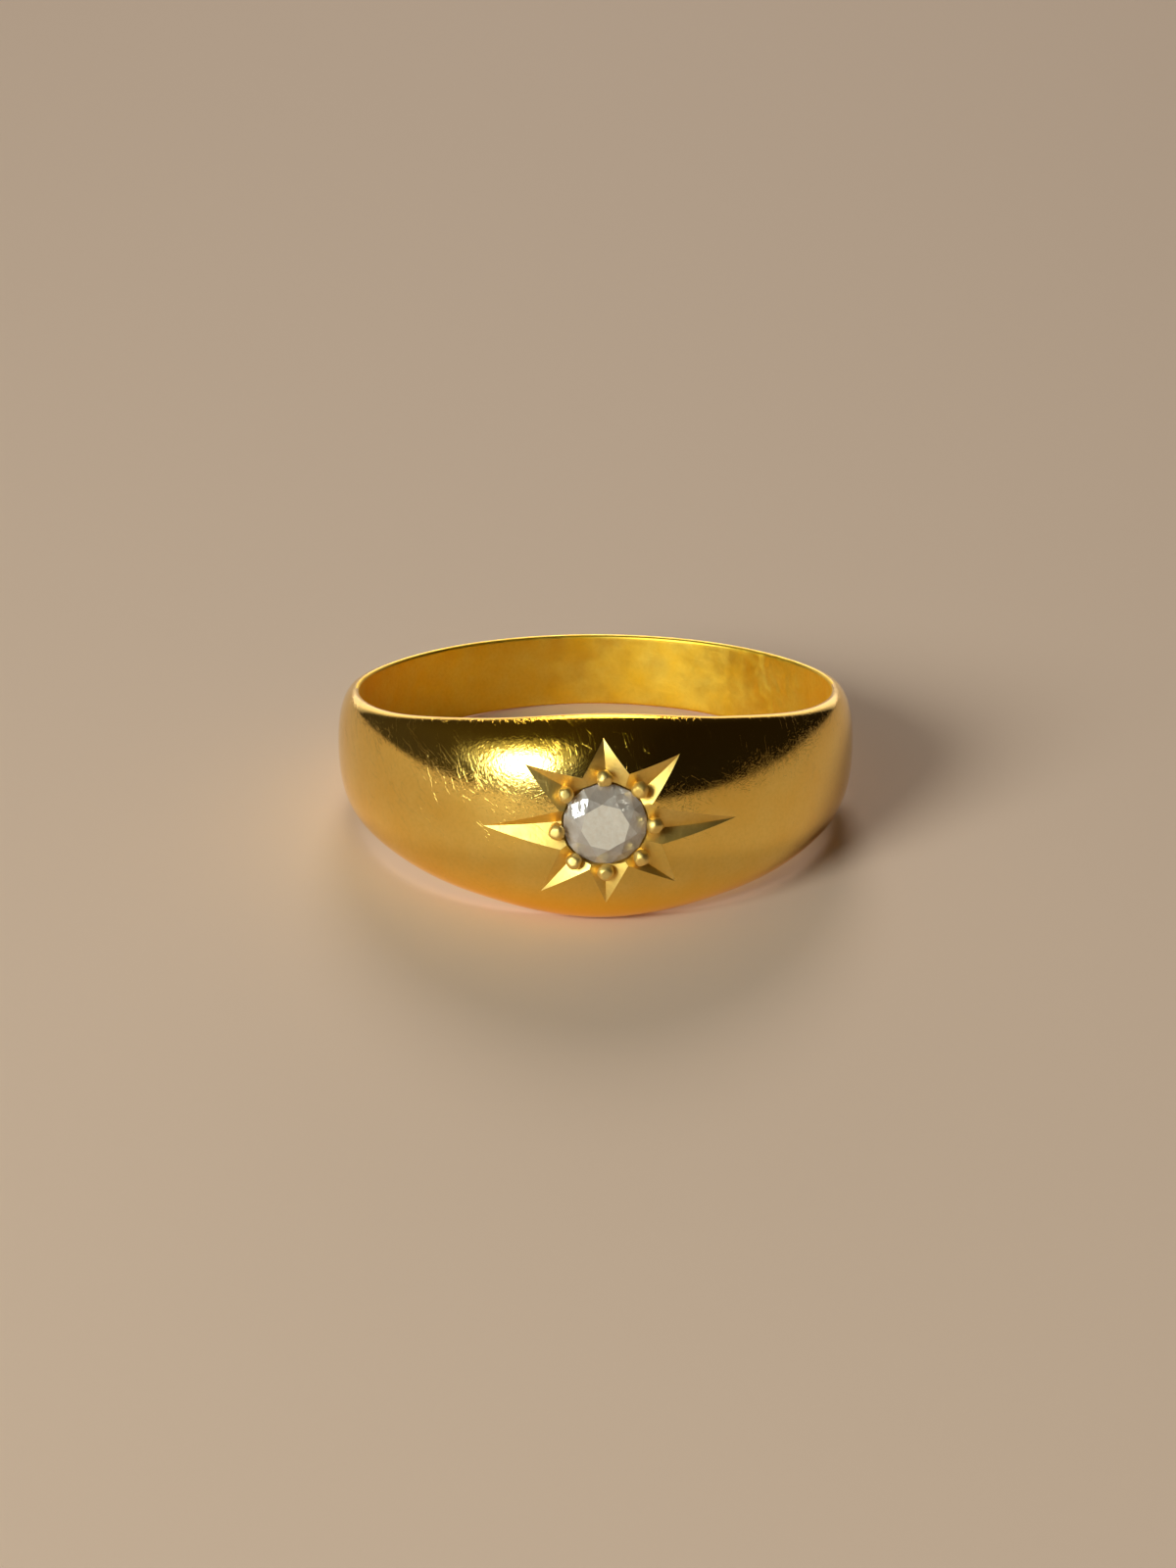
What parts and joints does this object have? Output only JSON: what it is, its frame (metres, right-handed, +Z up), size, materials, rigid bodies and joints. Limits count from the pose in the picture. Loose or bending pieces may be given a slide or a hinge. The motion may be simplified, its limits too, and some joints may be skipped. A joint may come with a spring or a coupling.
{
  "type": "flush set gypsy ring",
  "caption": "Finger ring with a tapered domed gold band and a round old-cut stone let flush into the head, in the middle of an engraved star.",
  "frame": {"origin": "centre of the bounding box in plan, on the ground that the ring lies on", "axes": "+Z up from the ground, the ring lying on its side; the head and the stone face -Y; +X to the right of a viewer in front of the stone. The finger hole's axis leans 7.3 degrees from +Z towards +Y, because the wide head and the narrow back both touch the ground"},
  "size_m": [0.0188, 0.02, 0.0072],
  "materials": {
    "gold": "worn polish, 18 carat yellow gold, bright cuts in the star",
    "diamond": "polished facets"
  },
  "bodies": {
    "root": {"band": "gold", "diamond": "diamond"}
  },
  "joints": []
}
